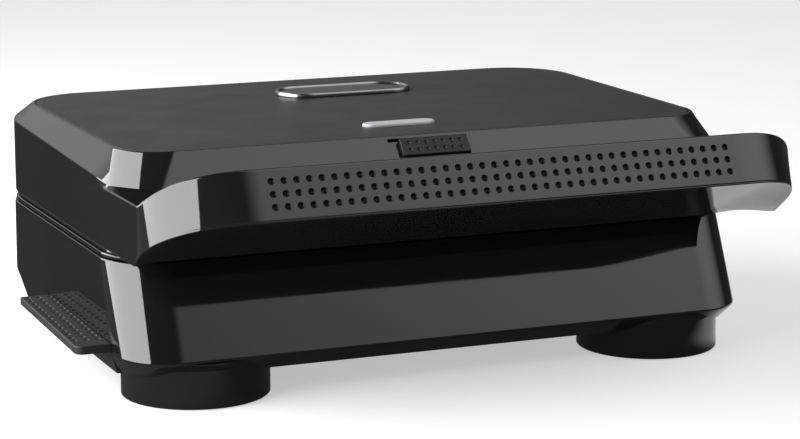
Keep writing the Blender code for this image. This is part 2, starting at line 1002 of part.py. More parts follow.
# Latch: a pad in a pocket on the front bevel, and a hook that slides under the base frame
bevel_run = Vector((0, front_bevel_foot - top_front, front_bevel_foot_height - lid_top))
down_slope = bevel_run.normalized()
bevel_out = Vector((1, 0, 0)).cross(down_slope).normalized()
if bevel_out.z < 0:
    bevel_out = -bevel_out
slope_turn = Matrix((Vector((1, 0, 0)), -down_slope, bevel_out)).transposed().to_4x4()


def on_bevel(low, high):
    """A box in the bevel's own frame: X across, Y up the slope from the top edge, Z out of it."""
    made = box_mesh(low, high)
    origin = Vector((0, top_front, lid_top))
    if slope_turn.determinant() < 0:
        bmesh.ops.reverse_faces(made, faces=made.faces)
    bmesh.ops.transform(made, matrix=Matrix.Translation(origin) @ slope_turn, verts=made.verts)
    return made


latch = empty("latch", Vector((0, top_front, lid_top)), lid_pivot)
pad_half = pad_length / 2
pad_low = -pad_from_edge - pad_width
pocket = add_cutter(
    "latch_pocket",
    on_bevel(
        (-pad_half - latch_travel - pocket_margin, pad_low - pocket_margin, -pocket_depth),
        (pad_half + pocket_margin, -pad_from_edge + pocket_margin, overrun),
    ),
)
boolean(lid_housing, pocket)
stem_middle = -pad_from_edge - pad_width / 2
stem_slot = add_cutter(
    "latch_stem_slot",
    on_bevel(
        (-stem_half - latch_travel - pocket_margin, stem_middle - stem_width / 2 - pocket_margin, -stem_length),
        (stem_half + pocket_margin, stem_middle + stem_width / 2 + pocket_margin, overrun),
    ),
)
boolean(lid_housing, stem_slot)
latch_pad = add_object(
    "latch_pad",
    on_bevel((-pad_half, pad_low, -pad_sink), (pad_half, -pad_from_edge, pad_rise)),
    satin_black,
    latch,
)
bevel(latch_pad, pad_rise / 3, 2)
stem = add_cutter(
    "latch_stem",
    on_bevel(
        (-stem_half, stem_middle - stem_width / 2, -stem_length),
        (stem_half, stem_middle + stem_width / 2, -pad_sink / 2),
    ),
)
boolean(latch_pad, stem, "UNION")
stem_end = Vector((0, top_front, lid_top)) + down_slope * -stem_middle - bevel_out * stem_length
hook_back = hook_front + hook_thickness
latch_hook = add_object(
    "latch_hook",
    box_mesh((-hook_half_width, hook_front, hook_foot), (hook_half_width, hook_back, stem_end.z - stem_width)),
    steel,
    latch,
)
toe = add_cutter(
    "hook_toe",
    box_mesh(
        (-hook_half_width - hook_toe_reach, hook_front, hook_foot),
        (0, hook_back, hook_foot + hook_toe_height),
    ),
)
boolean(latch_hook, toe, "UNION")
hook_slot = add_cutter(
    "hook_slot",
    box_mesh(
        (-hook_half_width - hook_toe_reach - hook_slot_margin, hook_front - hook_slot_margin, hook_foot),
        (hook_half_width + hook_slot_margin, hook_back + hook_slot_margin, lid_bottom + overrun),
    ),
)
boolean(lid_frame, hook_slot)
boolean(base_frame, hook_slot)

# Drip tray: a shallow bowl on two rails, a face that closes the slot, and a pull tab
tray_back_edge = tray_length - tray_face
face_inner = tray_face - tray_face_thickness
face_lean = base_foot_inset
bowl_left = -face_inner + face_lean + clearance


def tray_outline(depth):
    half = (tray_back_edge - bowl_left) / 2 - depth
    middle = (tray_back_edge + bowl_left) / 2
    outline = rounded_outline(
        half, tray_front + depth, tray_back - depth, tray_radius - depth, tray_radius - depth, 3
    )
    return [(x + middle, y) for x, y in outline]


tray = empty("tray", Vector((-tray_face, (tray_front + tray_back) / 2, tray_face_top)), grill)
drip_tray = add_object("drip_tray", prism_mesh(tray_outline(0), tray_bottom, tray_rim_height), matt_black, tray)
tray_hollow = add_cutter(
    "tray_hollow", prism_mesh(tray_outline(tray_wall), tray_bottom + tray_wall, tray_rim_height + overrun)
)
boolean(drip_tray, tray_hollow)


def tab_outline():
    points = []
    for end, corner_y, radius, start in (
        (tab_end - tab_taper, tray_back - tab_back_radius, tab_back_radius, 90),
        (tab_end, tray_front + tab_front_radius, tab_front_radius, 180),
    ):
        for step in range(corner_steps + 1):
            angle = math.radians(start + 90 * step / corner_steps)
            points.append((radius - end + radius * math.cos(angle), corner_y + radius * math.sin(angle)))
    return points + [(-face_inner, tray_front), (-face_inner, tray_back)]


tray_handle = add_object(
    "tray_handle",
    prism_mesh(tab_outline(), tray_face_top - tab_thickness, tray_face_top),
    satin_black,
    tray,
)
face_mesh = box_mesh((-tray_face, tray_front, tray_face_bottom), (-face_inner, tray_back, tray_face_top))
for vert in face_mesh.verts:
    if vert.co.z < tray_face_top - tab_thickness:
        vert.co.x += face_lean
face_board = add_cutter("tray_face_board", face_mesh)
boolean(tray_handle, face_board, "UNION")
rail_foot = base_foot_height + bottom_thickness + clearance
for end, low in (("front", tray_front - clearance - rail_width), ("rear", tray_back + clearance)):
    add_object(
        f"tray_rail_{end}",
        box_mesh(
            (-base_foot_half_width + base_front_radius, low, rail_foot),
            (tray_back_edge + overrun, low + rail_width, rail_foot + rail_height),
        ),
        matt_black,
        grill,
    )

# Electrical pieces in the base
reflector_under = lower_plate_under - clearance - reflector_depth
block_back = base_foot_back - wall - clearance
terminal_block = add_object(
    "terminal_block",
    box_mesh(
        (block_x - block_length / 2, block_back - block_width, rail_foot),
        (block_x + block_length / 2, block_back, rail_foot + block_height),
    ),
    ceramic,
    grill,
)
thermostat = add_object(
    "thermostat",
    rod_mesh(
        (thermostat_x, (plate_front + plate_back) / 2, reflector_under - clearance - thermostat_height / 2),
        (0, 0, 1),
        thermostat_radius,
        thermostat_height,
        barrel_segments,
    ),
    ceramic,
    grill,
    math.radians(30),
)
thermal_fuse = add_object(
    "thermal_fuse",
    rod_mesh(
        (
            thermostat_x + 2 * thermostat_radius + fuse_length / 2,
            (plate_front + plate_back) / 2,
            reflector_under - clearance - fuse_radius,
        ),
        (1, 0, 0),
        fuse_radius,
        fuse_length,
        barrel_segments,
    ),
    ceramic,
    grill,
    math.radians(30),
)


def back_wall(height):
    """Y of the base's outer back face at a height."""
    share = (base_top_height - height) / (base_top_height - base_crease_back_height)
    return blend(base_top_back, base_crease_back, share)


gland_face = back_wall(gland_height + gland_flange_radius) + clearance * 2
gland_inner = gland_face - gland_length
gland_middle = Vector((gland_x, (gland_face + gland_inner) / 2, gland_height))
gland_hole = add_cutter(
    "gland_hole", rod_mesh(gland_middle, (0, 1, 0), gland_radius + clearance, 2 * gland_length, gland_segments)
)
boolean(base_housing, gland_hole)
boolean(base_housing, tray_slot)
cord_gland = add_object(
    "cord_gland",
    rod_mesh(gland_middle, (0, 1, 0), gland_radius, gland_length, gland_segments),
    matt_black,
    grill,
    math.radians(30),
)
gland_collar = add_cutter(
    "gland_collar",
    rod_mesh(
        (gland_x, gland_face + gland_flange / 2 - clearance / 2, gland_height),
        (0, 1, 0),
        gland_flange_radius,
        gland_flange + clearance,
        gland_segments,
    ),
)
boolean(cord_gland, gland_collar, "UNION")
gland_way = add_cutter(
    "gland_way", rod_mesh(gland_middle, (0, 1, 0), gland_bore, 3 * gland_length, gland_segments)
)
boolean(cord_gland, gland_way)
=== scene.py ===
"""The looks of a black contact grill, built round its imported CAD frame. Metres, +Z up, -Y the front."""

import json
import math

import bmesh
import bpy
from mathutils import Matrix, Vector


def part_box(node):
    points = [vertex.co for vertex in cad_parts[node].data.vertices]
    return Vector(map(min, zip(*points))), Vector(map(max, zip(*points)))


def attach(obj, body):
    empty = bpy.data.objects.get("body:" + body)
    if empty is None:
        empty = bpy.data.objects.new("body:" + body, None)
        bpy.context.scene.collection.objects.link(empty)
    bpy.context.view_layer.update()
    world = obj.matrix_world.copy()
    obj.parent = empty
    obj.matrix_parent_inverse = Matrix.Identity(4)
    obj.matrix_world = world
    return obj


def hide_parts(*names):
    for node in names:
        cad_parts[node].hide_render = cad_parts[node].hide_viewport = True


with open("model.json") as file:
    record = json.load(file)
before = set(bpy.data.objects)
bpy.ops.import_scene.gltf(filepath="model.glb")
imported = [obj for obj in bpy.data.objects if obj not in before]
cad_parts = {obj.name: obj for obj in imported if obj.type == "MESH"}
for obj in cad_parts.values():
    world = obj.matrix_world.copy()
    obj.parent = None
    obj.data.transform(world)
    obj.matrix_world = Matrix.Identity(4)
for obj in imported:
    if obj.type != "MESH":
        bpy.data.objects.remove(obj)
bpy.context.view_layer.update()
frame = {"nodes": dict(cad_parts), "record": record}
nodes = frame["nodes"]

# The model's own coordinates have their middle plane at X = 0; the frame is this far from them
shift = Vector((0.00635, -0.05225, 0.0))

# Body in plan
body_half_width = 0.1438
body_back = 0.177
body_back_radius = 0.042
wall = 0.0026
clearance = 0.0003

# Lid
lid_bottom = 0.0635
lid_top = 0.1023
top_half_width = 0.1345
top_front = -0.0015
top_back = 0.169
top_back_radius = 0.030
top_front_radius = 0.020
top_rim_width = 0.0014
panel_thickness = 0.0018
panel_ledge = 0.0055
crease_back_height = 0.0970
crease_front_height = 0.0919
crease_front = 0.020
arm_start = 0.004
arm_start_height = 0.0889
arm_end_height = 0.0905
bevel_foot_y = -0.0132
bevel_foot_height = 0.0883
bevel_corner_inset = 0.0105
trough_floor = 0.0880

# Handle band
band_top_front = -0.0742
band_top_height = 0.1063
band_low_front = -0.0842
band_low_height = 0.0867
band_top_end = -0.0505
band_top_end_height = 0.0911
band_low_end = -0.0517
band_low_end_height = 0.0713
band_straight = 0.104
band_thickness = 0.0032
band_flare = 0.0017
band_low_flare = 0.0014
band_top_sweep = math.radians(72)
band_low_sweep = math.radians(80)
band_droop = 1.25
top_straight_share = 0.9
top_straight = band_straight * top_straight_share
arm_low_height = 0.0652
arm_low_end = -0.0430

# Corners of a lid section by index: 0 the top rim, 8 the low outer edge, 9 to 12 the rise, 13 the top edge
wall_radii = {0: 0.0003, 8: 0.0004, 12: 0.0016, 13: 0.0012}
arm_radii = {8: 0.0006, 9: 0.0005, 10: 0.0005, 13: 0.0012}
band_radii = {0: 0.0003, 8: 0.0004, 9: 0.0012, 10: 0.0008, 11: 0.0020, 12: 0.0006, 13: 0.0010}
least_radius = 0.00001
rounded_corners = (0, 8, 9, 10, 11, 12, 13)

# Edges steeper than these, in degrees, stay sharp
shell_sharp = 34
piece_sharp = 40
sole_sharp = 30

# How far a cutter passes the face that it opens
cutter_reach = 0.002

# Fineness of the lofts
corner_steps = 14
bevel_steps = 12
band_steps = 18
fillet_steps = 3


# Materials
def new_material(name):
    made = bpy.data.materials.new(name)
    made.use_nodes = True
    return made, made.node_tree, made.node_tree.nodes["Principled BSDF"]


def link(tree, out, into):
    tree.links.new(out, into)


def noise_node(tree, scale, detail):
    place = tree.nodes.new("ShaderNodeTexCoord")
    made = tree.nodes.new("ShaderNodeTexNoise")
    made.inputs["Scale"].default_value = scale
    made.inputs["Detail"].default_value = detail
    made.inputs["Roughness"].default_value = 0.55
    link(tree, place.outputs["Object"], made.inputs["Vector"])
    return made.outputs["Fac"]


def spread(tree, source, start, end, low, high, interpolation="LINEAR"):
    """Turns the range from start to end into the range from low to high."""
    made = tree.nodes.new("ShaderNodeMapRange")
    made.interpolation_type = interpolation
    made.inputs["From Min"].default_value = start
    made.inputs["From Max"].default_value = end
    made.inputs["To Min"].default_value = low
    made.inputs["To Max"].default_value = high
    link(tree, source, made.inputs["Value"])
    return made.outputs["Result"]


def noise_between(tree, scale, detail, low, high):
    """Noise whose usual middle range runs from low to high."""
    return spread(tree, noise_node(tree, scale, detail), 0.3, 0.7, low, high)


def colour_mix(tree, factor, first, second):
    made = tree.nodes.new("ShaderNodeMix")
    made.data_type = "RGBA"
    made.inputs["A"].default_value = (*first, 1.0)
    made.inputs["B"].default_value = (*second, 1.0)
    link(tree, factor, made.inputs["Factor"])
    return made.outputs["Result"]


def cloud(tree, scale, detail, tones):
    return colour_mix(tree, noise_between(tree, scale, detail, 0.0, 1.0), *tones)


def bump(tree, shader, height, distance, under=None):
    made = tree.nodes.new("ShaderNodeBump")
    made.inputs["Distance"].default_value = distance
    link(tree, height, made.inputs["Height"])
    if under:
        link(tree, under.outputs["Normal"], made.inputs["Normal"])
    link(tree, made.outputs["Normal"], shader.inputs["Normal"])
    return made


def plastic(name, tones, roughness, wave, grain, ior=1.49):
    """Moulded plastic with a smeared gloss: a slow wave under a fine grain, each a scale and a depth."""
    made, tree, shader = new_material(name)
    link(tree, noise_between(tree, 38.0, 5.0, *roughness), shader.inputs["Roughness"])
    link(tree, cloud(tree, 11.0, 2.0, tones), shader.inputs["Base Color"])
    wave_scale, wave_depth = wave
    first = bump(tree, shader, noise_node(tree, wave_scale, 1.0), wave_depth)
    grain_scale, grain_depth = grain
    bump(tree, shader, noise_node(tree, grain_scale, 2.0), grain_depth, under=first)
    shader.inputs["IOR"].default_value = ior
    return made


def metal(name, tones, roughness, grain, metallic=1.0):
    """Rolled or cast metal: cloudy tone, uneven roughness and a fine grain."""
    made, tree, shader = new_material(name)
    shader.inputs["Metallic"].default_value = metallic
    link(tree, cloud(tree, 60.0, 4.0, tones), shader.inputs["Base Color"])
    link(tree, noise_between(tree, 160.0, 4.0, *roughness), shader.inputs["Roughness"])
    grain_scale, grain_depth = grain
    bump(tree, shader, noise_node(tree, grain_scale, 3.0), grain_depth)
    return made


# Darker plastic for the dimple pits: painted shade in the hollows, with a rougher finish
pit_shade_black = plastic(
    "pit_shade_black", tones=((0.002, 0.002, 0.002), (0.003, 0.003, 0.003)), roughness=(0.34, 0.42),
    wave=(60.0, 0.00001), grain=(5200.0, 0.00001), ior=1.3,
)
gloss_black = plastic(
    "piano_black", tones=((0.006, 0.006, 0.0065), (0.009, 0.009, 0.0095)), roughness=(0.03, 0.06),
    wave=(26.0, 0.00002), grain=(900.0, 0.000002), ior=1.8,
)
satin_black = plastic(
    "satin_charcoal", tones=((0.017, 0.017, 0.0175), (0.021, 0.021, 0.0215)), roughness=(0.36, 0.44),
    wave=(60.0, 0.00001), grain=(5200.0, 0.000025),
)
soft_black = plastic(
    "soft_touch_black", tones=((0.015, 0.015, 0.0155), (0.019, 0.019, 0.0195)), roughness=(0.42, 0.52),
    wave=(60.0, 0.00001), grain=(4200.0, 0.00004),
)
matt_black = plastic(
    "matt_black", tones=((0.020, 0.020, 0.021), (0.028, 0.028, 0.029)), roughness=(0.55, 0.68),
    wave=(50.0, 0.00002), grain=(3000.0, 0.00006),
)
rubber = plastic(
    "rubber_black", tones=((0.014, 0.014, 0.014), (0.022, 0.021, 0.020)), roughness=(0.78, 0.9),
    wave=(80.0, 0.00002), grain=(2500.0, 0.00008),
)
plate_coat = metal(
    "plate_coating", tones=((0.020, 0.020, 0.021), (0.034, 0.034, 0.036)), roughness=(0.34, 0.5),
    grain=(2600.0, 0.00006), metallic=0.2,
)
steel = metal(
    "pressed_steel", tones=((0.48, 0.48, 0.49), (0.60, 0.60, 0.61)), roughness=(0.22, 0.36),
    grain=(1800.0, 0.00002),
)
heater_steel = metal(
    "heated_steel", tones=((0.12, 0.10, 0.09), (0.26, 0.23, 0.20)), roughness=(0.35, 0.55),
    grain=(1500.0, 0.00003),
)
lens_white = plastic(
    "lens_white", tones=((0.62, 0.62, 0.63), (0.70, 0.70, 0.71)), roughness=(0.22, 0.30),
    wave=(60.0, 0.00001), grain=(3000.0, 0.00001),
)
rim_silver = metal(
    "rim_silver", tones=((0.34, 0.34, 0.35), (0.42, 0.42, 0.43)), roughness=(0.18, 0.26),
    grain=(2500.0, 0.00001),
)
board_green = plastic(
    "board_green", tones=((0.02, 0.10, 0.04), (0.03, 0.14, 0.06)), roughness=(0.35, 0.5),
    wave=(60.0, 0.00001), grain=(2000.0, 0.00003),
)
ceramic = plastic(
    "ceramic", tones=((0.62, 0.60, 0.55), (0.72, 0.70, 0.65)), roughness=(0.4, 0.55),
    wave=(60.0, 0.00002), grain=(2500.0, 0.00004),
)

slot_looks = {
    "gloss_black": gloss_black,
    "satin_black": satin_black,
    "matt_black": matt_black,
    "rubber": rubber,
    "plate_coat": plate_coat,
    "steel": steel,
    "heater_steel": heater_steel,
    "lens_white": lens_white,
    "board_green": board_green,
    "ceramic": ceramic,
}
for entry in frame["record"]["subparts"]:
    kept = nodes[entry["node"]]
    kept.data.materials.clear()
    kept.data.materials.append(slot_looks[entry["material_slot"]])


# Mesh helpers: points are in model coordinates, and finished pieces in the frame's
def piece(name, maker, look, body, replaced, smooth=piece_sharp):
    bmesh.ops.recalc_face_normals(maker, faces=maker.faces)
    mesh = bpy.data.meshes.new(name)
    maker.to_mesh(mesh)
    maker.free()
    mesh.transform(Matrix.Translation(shift))
    made = bpy.data.objects.new(name, mesh)
    bpy.context.scene.collection.objects.link(made)
    mesh.materials.append(look)
    mesh.shade_smooth()
    sharpen(made, smooth)
    step = made.modifiers.new("even_normals", "WEIGHTED_NORMAL")
    step.keep_sharp = True
    step.weight = 100
    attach(made, body)
    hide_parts(*replaced)
    return made


def sharpen(made, degrees):
    made.data.set_sharp_from_angle(angle=math.radians(degrees))


def blend(start, end, share):
    return start + (end - start) * share


def fillet(points, radii):
    """A closed section with its corners rounded: radii maps a corner's index to its radius."""
    least_tangent = 0.05
    side_share = 0.45
    made = []
    count = len(points)
    for index, point in enumerate(points):
        radius = radii.get(index)
        if radius is None:
            made.append(point)
            continue
        back = points[index - 1] - point
        ahead = points[(index + 1) % count] - point
        angle = back.angle(ahead, math.pi)
        reach = radius / max(math.tan(angle / 2), least_tangent)
        reach = min(reach, side_share * back.length, side_share * ahead.length)
        start = point + back.normalized() * reach
        end = point + ahead.normalized() * reach
        for step in range(fillet_steps + 1):
            share = step / fillet_steps
            curve = start * (1 - share) ** 2 + point * 2 * share * (1 - share) + end * share ** 2
            made.append(curve)
    return made


def loft(stations, ring=False):
    """Quads between loops of equal count: a ring joins the last to the first, else both ends are capped."""
    made = bmesh.new()
    rows = [[made.verts.new(point) for point in station] for station in stations]
    following = rows[1:] + rows[:1] if ring else rows[1:]
    for row, after in zip(rows, following):
        for index in range(len(row)):
            follow = (index + 1) % len(row)
            made.faces.new((row[index], row[follow], after[follow], after[index]))
    if not ring:
        made.faces.new(rows[0][::-1])
        made.faces.new(rows[-1])
    return made


def mirrored(stations):
    left = [[Vector((-p.x, p.y, p.z)) for p in station] for station in stations]
    return stations + left[-2::-1][:-1]


least_corner = 0.0002


def rounded_outline(half_width, front, back, front_radius, back_radius, depth=0.0, steps=corner_steps):
    half_width -= depth
    front += depth
    back -= depth
    front_radius = max(front_radius - depth, least_corner)
    back_radius = max(back_radius - depth, least_corner)
    corners = (
        (half_width - front_radius, front + front_radius, front_radius, -90),
        (half_width - back_radius, back - back_radius, back_radius, 0),
        (back_radius - half_width, back - back_radius, back_radius, 90),
        (front_radius - half_width, front + front_radius, front_radius, 180),
    )
    points = []
    for x, y, radius, start in corners:
        for step in range(steps + 1):
            angle = math.radians(start + 90 * step / steps)
            points.append((x + radius * math.cos(angle), y + radius * math.sin(angle)))
    return points


def pill_outline(x, y, length, width, depth=0.0, steps=14):
    radius = width / 2 - depth
    reach = (length - width) / 2
    points = []
    for side, start in ((1, -90), (-1, 90)):
        for step in range(steps + 1):
            angle = math.radians(start + 180 * step / steps)
            points.append((x + side * reach + radius * math.cos(angle), y + radius * math.sin(angle)))
    return points


def circle_outline(x, y, radius, depth=0.0, steps=72):
    turn = 2 * math.pi / steps
    reach = radius - depth
    return [(x + reach * math.cos(turn * n), y + reach * math.sin(turn * n)) for n in range(steps)]


def layers_mesh(layers):
    """A closed solid through plan outlines of equal count at rising heights."""
    return loft([[(x, y, height) for x, y in outline] for height, outline in layers])


def edge_round(radius, steps=3):
    """Pairs of inset and drop for a rounded edge, from the side wall to the cap."""
    turns = [math.pi / 2 * n / steps for n in range(steps + 1)]
    return [(radius * (1 - math.cos(turn)), radius * (1 - math.sin(turn))) for turn in turns]


def rounded_solid(outline, low, high, low_radius, high_radius):
    """outline(depth) is the plan line that far inside the edge."""
    layers = [(low + drop, outline(depth)) for depth, drop in reversed(edge_round(low_radius))]
    layers += [(high - drop, outline(depth)) for depth, drop in edge_round(high_radius)]
    return layers_mesh(layers)


def cut(target, other, operation="DIFFERENCE"):
    """Applies a Boolean with a bmesh made in model coordinates."""
    mesh = bpy.data.meshes.new("cutter")
    bmesh.ops.recalc_face_normals(other, faces=other.faces)
    other.to_mesh(mesh)
    other.free()
    mesh.transform(Matrix.Translation(shift))
    tool = bpy.data.objects.new("cutter", mesh)
    bpy.context.scene.collection.objects.link(tool)
    step = target.modifiers.new("cut", "BOOLEAN")
    step.operation = operation
    step.solver = "EXACT"
    step.object = tool
    target.modifiers.move(target.modifiers.find(step.name), 0)
    shown = [(m, m.show_viewport) for m in target.modifiers if m != step]
    for modifier, _ in shown:
        modifier.show_viewport = False
    graph = bpy.context.evaluated_depsgraph_get()
    done = bpy.data.meshes.new_from_object(target.evaluated_get(graph))
    target.modifiers.remove(step)
    for modifier, state in shown:
        modifier.show_viewport = state
    old = target.data
    target.data = done
    bpy.data.meshes.remove(old)
    bpy.data.objects.remove(tool)


def dimples(places, normal, opening, depth, rings=4, segments=14):
    """One mesh of ball-shaped cutters whose caps sink into a face at these places."""
    ball = (opening * opening + depth * depth) / (2 * depth)
    made = bmesh.new()
    out = Vector(normal).normalized()
    turn = Vector((0, 0, 1)).rotation_difference(out).to_matrix().to_4x4()
    for place in places:
        centre = Vector(place) + out * (ball - depth)
        matrix = Matrix.Translation(centre) @ turn
        bottom = made.verts.new(matrix @ Vector((0, 0, -ball)))
        widest = math.acos((ball - depth - depth) / ball)
        circles = []
        for ring in range(1, rings + 1):
            angle = widest * ring / rings
            circles.append([
                made.verts.new(matrix @ Vector((
                    ball * math.sin(angle) * math.cos(2 * math.pi * n / segments),
                    ball * math.sin(angle) * math.sin(2 * math.pi * n / segments),
                    -ball * math.cos(angle),
                )))
                for n in range(segments)
            ])
        for n in range(segments):
            after = (n + 1) % segments
            made.faces.new((bottom, circles[0][after], circles[0][n]))
            for inner, outer in zip(circles, circles[1:]):
                made.faces.new((inner[n], inner[after], outer[after], outer[n]))
        made.faces.new(circles[-1])
    return made


# Lid shell: the same sections as the CAD part's, finer and with rounded edges
def band_line(share, half_width, front, end, sweep):
    """A point of the handle's plan curve and its outward normal: 0 at the arm, 1 at the straight front."""
    turn = sweep * (1 - share)
    run = half_width - band_straight
    across = math.sin(turn) / math.sin(sweep)
    along = (math.cos(turn) - math.cos(sweep)) / (1 - math.cos(sweep))
    point = Vector((band_straight + run * across, end + (front - end) * along, 0))
    normal = Vector((
        (end - front) * math.sin(turn) / (1 - math.cos(sweep)),
        -run * math.cos(turn) / math.sin(sweep),
    )).normalized()
    return point, normal


def droop(y, front, end, height, end_height):
    share = max(0, (y - front) / (end - front))
    return height + (end_height - height) * share ** band_droop


def band_top_point(share):
    """A point of the band's top edge."""
    point, _ = band_line(share, body_half_width + band_flare, band_top_front, band_top_end, band_top_sweep)
    point.z = droop(point.y, band_top_front, band_top_end, band_top_height, band_top_end_height)
    return point


def band_low_line(share):
    """A point of the band's low edge and its outward normal."""
    point, normal = band_line(
        share, body_half_width + band_low_flare, band_low_front, band_low_end, band_low_sweep
    )
    point.z = droop(point.y, band_low_front, band_low_end, band_low_height, band_low_end_height)
    return point, normal


def lid_half():
    """Sections from the middle of the back, round the right side and the arm, to the middle of the band."""
    stations = []
    seat = lid_top - panel_thickness - clearance
    ledge_low = seat - wall
    under_trough = trough_floor - wall
    under_band = trough_floor - wall / 2

    def at(point, normal, distance, height):
        return Vector((point[0] - normal[0] * distance, point[1] - normal[1] * distance, height))

    def section(top, normal, below, rise, radii):
        head = [
            at(top, normal, top_rim_width, lid_top),
            at(top, normal, top_rim_width, seat),
            at(top, normal, top_rim_width + panel_ledge, seat),
            at(top, normal, top_rim_width + panel_ledge, ledge_low),
            at(top, normal, wall, ledge_low),
        ]
        shape = head + below + rise + [Vector((top[0], top[1], lid_top))]
        every = {index: least_radius for index in rounded_corners}
        stations.append(fillet(shape, {**every, **radii}))

    def wall_section(point, normal, top, crease):
        below = [
            at(point, normal, wall, crease - wall),
            at(point, normal, wall, under_trough),
            at(point, normal, wall, lid_bottom),
            at(point, normal, 0, lid_bottom),
        ]
        heights = (lid_bottom + wall, crease - 8 * wall / 3, crease - 7 * wall / 3, crease)
        section(top, normal, below, [at(point, normal, 0, height) for height in heights], wall_radii)

    side_length = body_back - crease_front
    back_corner = (body_half_width - body_back_radius, body_back - body_back_radius)
    top_corner = (top_half_width - top_back_radius, top_back - top_back_radius)
    wall_section((0, body_back), (0, 1), (0, top_back), crease_back_height)
    for step in range(corner_steps + 1):
        angle = math.radians(90 - 90 * step / corner_steps)
        normal = (math.cos(angle), math.sin(angle))
        point = [back_corner[i] + body_back_radius * normal[i] for i in (0, 1)]
        top = [top_corner[i] + top_back_radius * normal[i] for i in (0, 1)]
        share = (body_back - point[1]) / side_length
        wall_section(point, normal, top, blend(crease_back_height, crease_front_height, share))
    front_centre = (top_half_width - top_front_radius, top_front + top_front_radius)
    wall_section(
        (body_half_width, crease_front), (1, 0), (top_half_width, front_centre[1]), crease_front_height
    )

    inner = body_half_width - wall
    bevel_end_x = top_half_width - bevel_corner_inset
    for step in range(1, bevel_steps + 1):
        along = (step - 1) / (bevel_steps - 1)
        angle = math.radians(-90 * step / bevel_steps)
        normal = (math.cos(angle), math.sin(angle))
        top = [front_centre[i] + top_front_radius * normal[i] for i in (0, 1)]
        y_wall = blend(arm_start, band_top_end + wall, along)
        y_foot = blend(arm_start, arm_low_end, along)
        arm_top = blend(arm_start_height, arm_end_height, along)
        arm_foot = blend(lid_bottom, arm_low_height, along)
        floor = blend(arm_top - wall / 4, trough_floor, min(1, 2 * along))
        outer = body_half_width + band_flare * along
        foot = Vector((
            blend(inner - wall / 4, bevel_end_x, along),
            blend(arm_start, bevel_foot_y, along),
            blend(arm_start_height, bevel_foot_height, along),
        ))
        below = [
            foot + Vector((-wall / 2, wall, -wall)),
            Vector((outer - wall, y_wall, under_trough)),
            Vector((inner, y_foot, arm_foot)),
            Vector((body_half_width + band_low_flare * along, y_foot, arm_foot)),
        ]
        rise = [
            Vector((outer, y_wall, arm_top - wall / 4)),
            Vector((outer - wall / 4, y_wall, arm_top)),
            Vector((outer - wall, y_wall, floor)),
            foot,
        ]
        section(top, normal, below, rise, arm_radii)

    for number in range(band_steps + 2):
        if number > band_steps:
            high = Vector((0, band_top_front, band_top_height))
            low = Vector((0, band_low_front, band_low_height))
            normal = (0, -1)
            top = (0, top_front)
            foot = Vector((0, bevel_foot_y, bevel_foot_height))
        else:
            share = number / band_steps
            high = band_top_point(share)
            low, normal = band_low_line(share)
            across = (number + 1) / (band_steps + 2)
            top = (blend(front_centre[0], top_straight, across), top_front)
            foot = Vector((blend(bevel_end_x, top_straight, across), bevel_foot_y, bevel_foot_height))
        flat = Vector((normal[0], normal[1], 0))
        floor_share = (trough_floor + wall / 2 - low.z) / (high.z - low.z)
        lean = blend(low, high, floor_share)
        floor_point = lean - flat * band_thickness
        floor_point.z = trough_floor + wall / 2
        low_in = low - flat * (band_thickness - wall / 4)
        low_in.z = min(low.z, under_band)
        under = lean - flat * (band_thickness + wall)
        under.z = under_band
        high_in = high - flat * band_thickness
        high_in.z = high.z - wall / 4
        below = [foot + Vector((0, wall, -wall)), under, low_in, low]
        section(top, (0, -1), below, [high, high_in, floor_point, foot], band_radii)
    return stations


lid_shell = piece(
    "lid_shell", loft(mirrored(lid_half()), ring=True), gloss_black,
    "lid", ["lid_housing"], shell_sharp,
)

# Grip dimples in the band's front face, with rougher pits whose darker colour is painted shade in the
# hollows
dimple_rows = 3
dimple_columns = 39
dimple_half_run = 0.0998
dimple_opening = 0.00150
dimple_depth = 0.00085
row_top = Vector((0, -0.0767, 0.1015))
row_low = Vector((0, -0.0816, 0.0922))
band_up = Vector((0, band_top_front - band_low_front, band_top_height - band_low_height)).normalized()
band_out = Vector((0, -band_up.z, band_up.y))
on_face = Vector((0, band_low_front, band_low_height))


def onto_band(point):
    """The point moved along the face's normal onto the band's front plane."""
    return point - band_out * (point - on_face).dot(band_out)


grips = []
for row in range(dimple_rows):
    centre = onto_band(row_top.lerp(row_low, row / (dimple_rows - 1)))
    for column in range(dimple_columns):
        run = blend(-dimple_half_run, dimple_half_run, column / (dimple_columns - 1))
        grips.append(centre + Vector((run, 0, 0)))
cut(lid_shell, dimples(grips, band_out, dimple_opening, dimple_depth))
sharpen(lid_shell, shell_sharp)

pit_reach = dimple_half_run + 0.0016
pit_least_depth = 0.00004
pit_greatest_depth = 0.00090
pit_greatest_area = 0.000001
pit_origin = on_face + shift
# The pits' faces take the darker material, as painted shade
lid_shell.data.materials.append(pit_shade_black)
for face in lid_shell.data.polygons:
    depth = -(face.center - pit_origin).dot(band_out)
    deep = pit_least_depth < depth < pit_greatest_depth
    if deep and abs(face.center.x - shift.x) < pit_reach and face.area < pit_greatest_area:
        face.material_index = 1

# Handle underside: a smooth sheet that closes the grip and follows the band's low edge
sole_lip = -0.0350
sole_back = -0.0300
sole_slope = 0.437
sole_inset = 0.0003
sole_drop = 0.0001
sole_thickness = 0.0012
sole_sag_start = 0.118
sole_sag_end = 0.142


